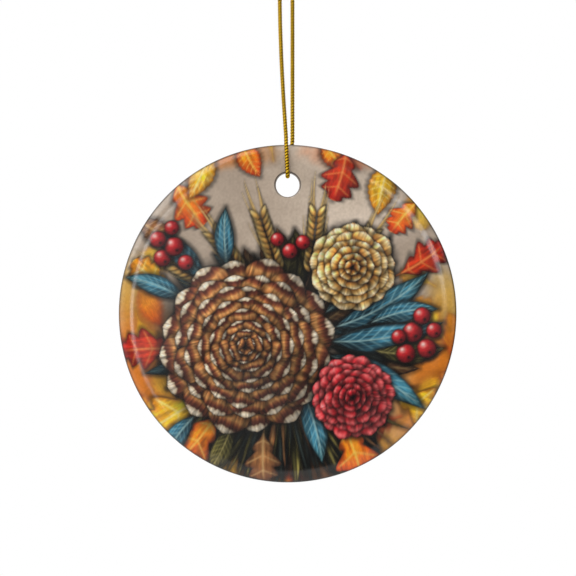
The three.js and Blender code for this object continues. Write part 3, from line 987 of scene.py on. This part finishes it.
bm = newFaceMesh()
outer, inner = piercedFace(bm, coatFacts["cells"], rimArc(0, coatFacts["rimSteps"]))
outer = pullRing(bm, outer, [(radiusMm - inset, rimFoot)])
outer = pullRing(bm, outer, rimArc(inset, coatFacts["underSteps"])[::-1][1:])
inner = pullRing(bm, inner, lipArc(front + lip, 270, 270 - lipShort, coatFacts["lipSteps"]), holeHeight)
printedCoat = closePiece("printedCoat", bm, outer, inner, printedGlaze())
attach(printedCoat, "disc")
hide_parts("print_coat")
inkAndShadeCoat(printedCoat)
print("printed coat made and painted")

# Floor: a plain pale round below the hanging disc that fades out before its edge
floorFacts = {"drop": 0.078, "radius": 0.5, "segments": 96, "fade": (0.26, 0.4)}
floorZ = discLow.z - floorFacts["drop"]
bm = bmesh.new()
bmesh.ops.create_circle(bm, cap_ends=True, segments=floorFacts["segments"], radius=floorFacts["radius"])
bmesh.ops.translate(bm, verts=bm.verts, vec=(0, 0, floorZ))
floorFinish = {"Base Color": (0.86, 0.86, 0.85, 1), "Roughness": 0.8}
floorPaint, tree, shader = newMaterial("pale floor", floorFinish)
away = distanceFrom(tree, addNode(tree, "TexCoord").outputs["Object"], floorZ)
fade = remap(tree, away, floorFacts["fade"], (1, 0), smooth=True)
# Clear from below, so that the floor hides nothing there
above = addMath(tree, "SUBTRACT", 1.0, addNode(tree, "NewGeometry").outputs["Backfacing"])
feed(tree, shader.inputs["Alpha"], addMath(tree, "MULTIPLY", fade, above))
floor = finishPiece("floor", bm, floorPaint)

# World: white to the camera; reflections see a studio that is white above and at the left, and greyer
# at the right and towards -Y
worldFacts = {"ambient": 0.5, "behindCamera": 0.14, "behindRange": (-0.98, -0.5), "right": 0.12,
              "rightRange": (-0.1, 0.75)}
world = bpy.data.worlds.new("studio")
bpy.context.scene.world = world
world.use_nodes = True
tree = world.node_tree
backdrop = tree.nodes["Background"]
direction = addNode(tree, "SeparateXYZ", {0: addNode(tree, "TexCoord").outputs["Generated"]})
behind = (worldFacts["behindCamera"], 1)
forward = remap(tree, direction.outputs["Y"], worldFacts["behindRange"], behind, smooth=True)
rightward = remap(tree, direction.outputs["X"], worldFacts["rightRange"], (1, worldFacts["right"]))
rays = addNode(tree, "LightPath").outputs
clear = addMath(tree, "MAXIMUM", rays["Is Camera Ray"], rays["Is Transmission Ray"])
shown = addMath(tree, "MAXIMUM", clear, rays["Is Glossy Ray"])
plain = addMath(tree, "SUBTRACT", 1.0, shown, clamp=True)
studio = addMath(tree, "MULTIPLY", forward, rightward)
glossy = addMath(tree, "MULTIPLY", studio, rays["Is Glossy Ray"])
ambient = addMath(tree, "MULTIPLY", plain, worldFacts["ambient"])
level = addMath(tree, "ADD", addMath(tree, "ADD", glossy, clear), ambient)
feed(tree, backdrop.inputs["Strength"], level)
backdrop.inputs["Color"].default_value = (1, 1, 1, 1)

# Lamps: where the disc sees each one, in degrees from the camera's side, right and up
lampFacts = {
    "key": {"shape": "DISK", "azimuth": -48, "elevation": 38, "distance": 0.9, "wide": 0.9, "high": 0.9,
            "radiance": 2.65},
    "left strip": {"shape": "RECTANGLE", "azimuth": -12.5, "elevation": 2.5, "distance": 0.8,
                   "wide": 0.11, "high": 0.27, "radiance": 5.6},
    "right box": {"shape": "ELLIPSE", "azimuth": 16, "elevation": 8.5, "distance": 0.8, "wide": 0.24,
                  "high": 0.21, "radiance": 4.5},
    "right fill": {"shape": "RECTANGLE", "azimuth": 62, "elevation": 12, "distance": 0.9, "wide": 0.45,
                   "high": 0.6, "radiance": 0.6},
    "back fill": {"shape": "DISK", "azimuth": 160, "elevation": 30, "distance": 1.0, "wide": 0.8,
                  "high": 0.8, "radiance": 2.4},
}
aim = Vector((0, 0, discCentreZ))
for name, lamp in lampFacts.items():
    light = bpy.data.lights.new(name, "AREA")
    light.shape = lamp["shape"]
    light.size = lamp["wide"]
    if lamp["shape"] != "DISK":
        light.size_y = lamp["high"]
    area = lamp["wide"] * lamp["high"] * (1 if lamp["shape"] == "RECTANGLE" else math.pi / 4)
    light.energy = lamp["radiance"] * math.pi * area
    azimuth, elevation = math.radians(lamp["azimuth"]), math.radians(lamp["elevation"])
    across = math.cos(elevation)
    lampSide = Vector((math.sin(azimuth) * across, -math.cos(azimuth) * across, math.sin(elevation)))
    lampObject = bpy.data.objects.new(name, light)
    lampObject.location = aim + lampSide * lamp["distance"]
    lampObject.rotation_euler = lampSide.to_track_quat("Z", "Y").to_euler()
    lampObject.visible_camera = False
    sceneItems.link(lampObject)
bpy.context.scene.view_settings.view_transform = "Standard"
print("floor, world and lamps made")
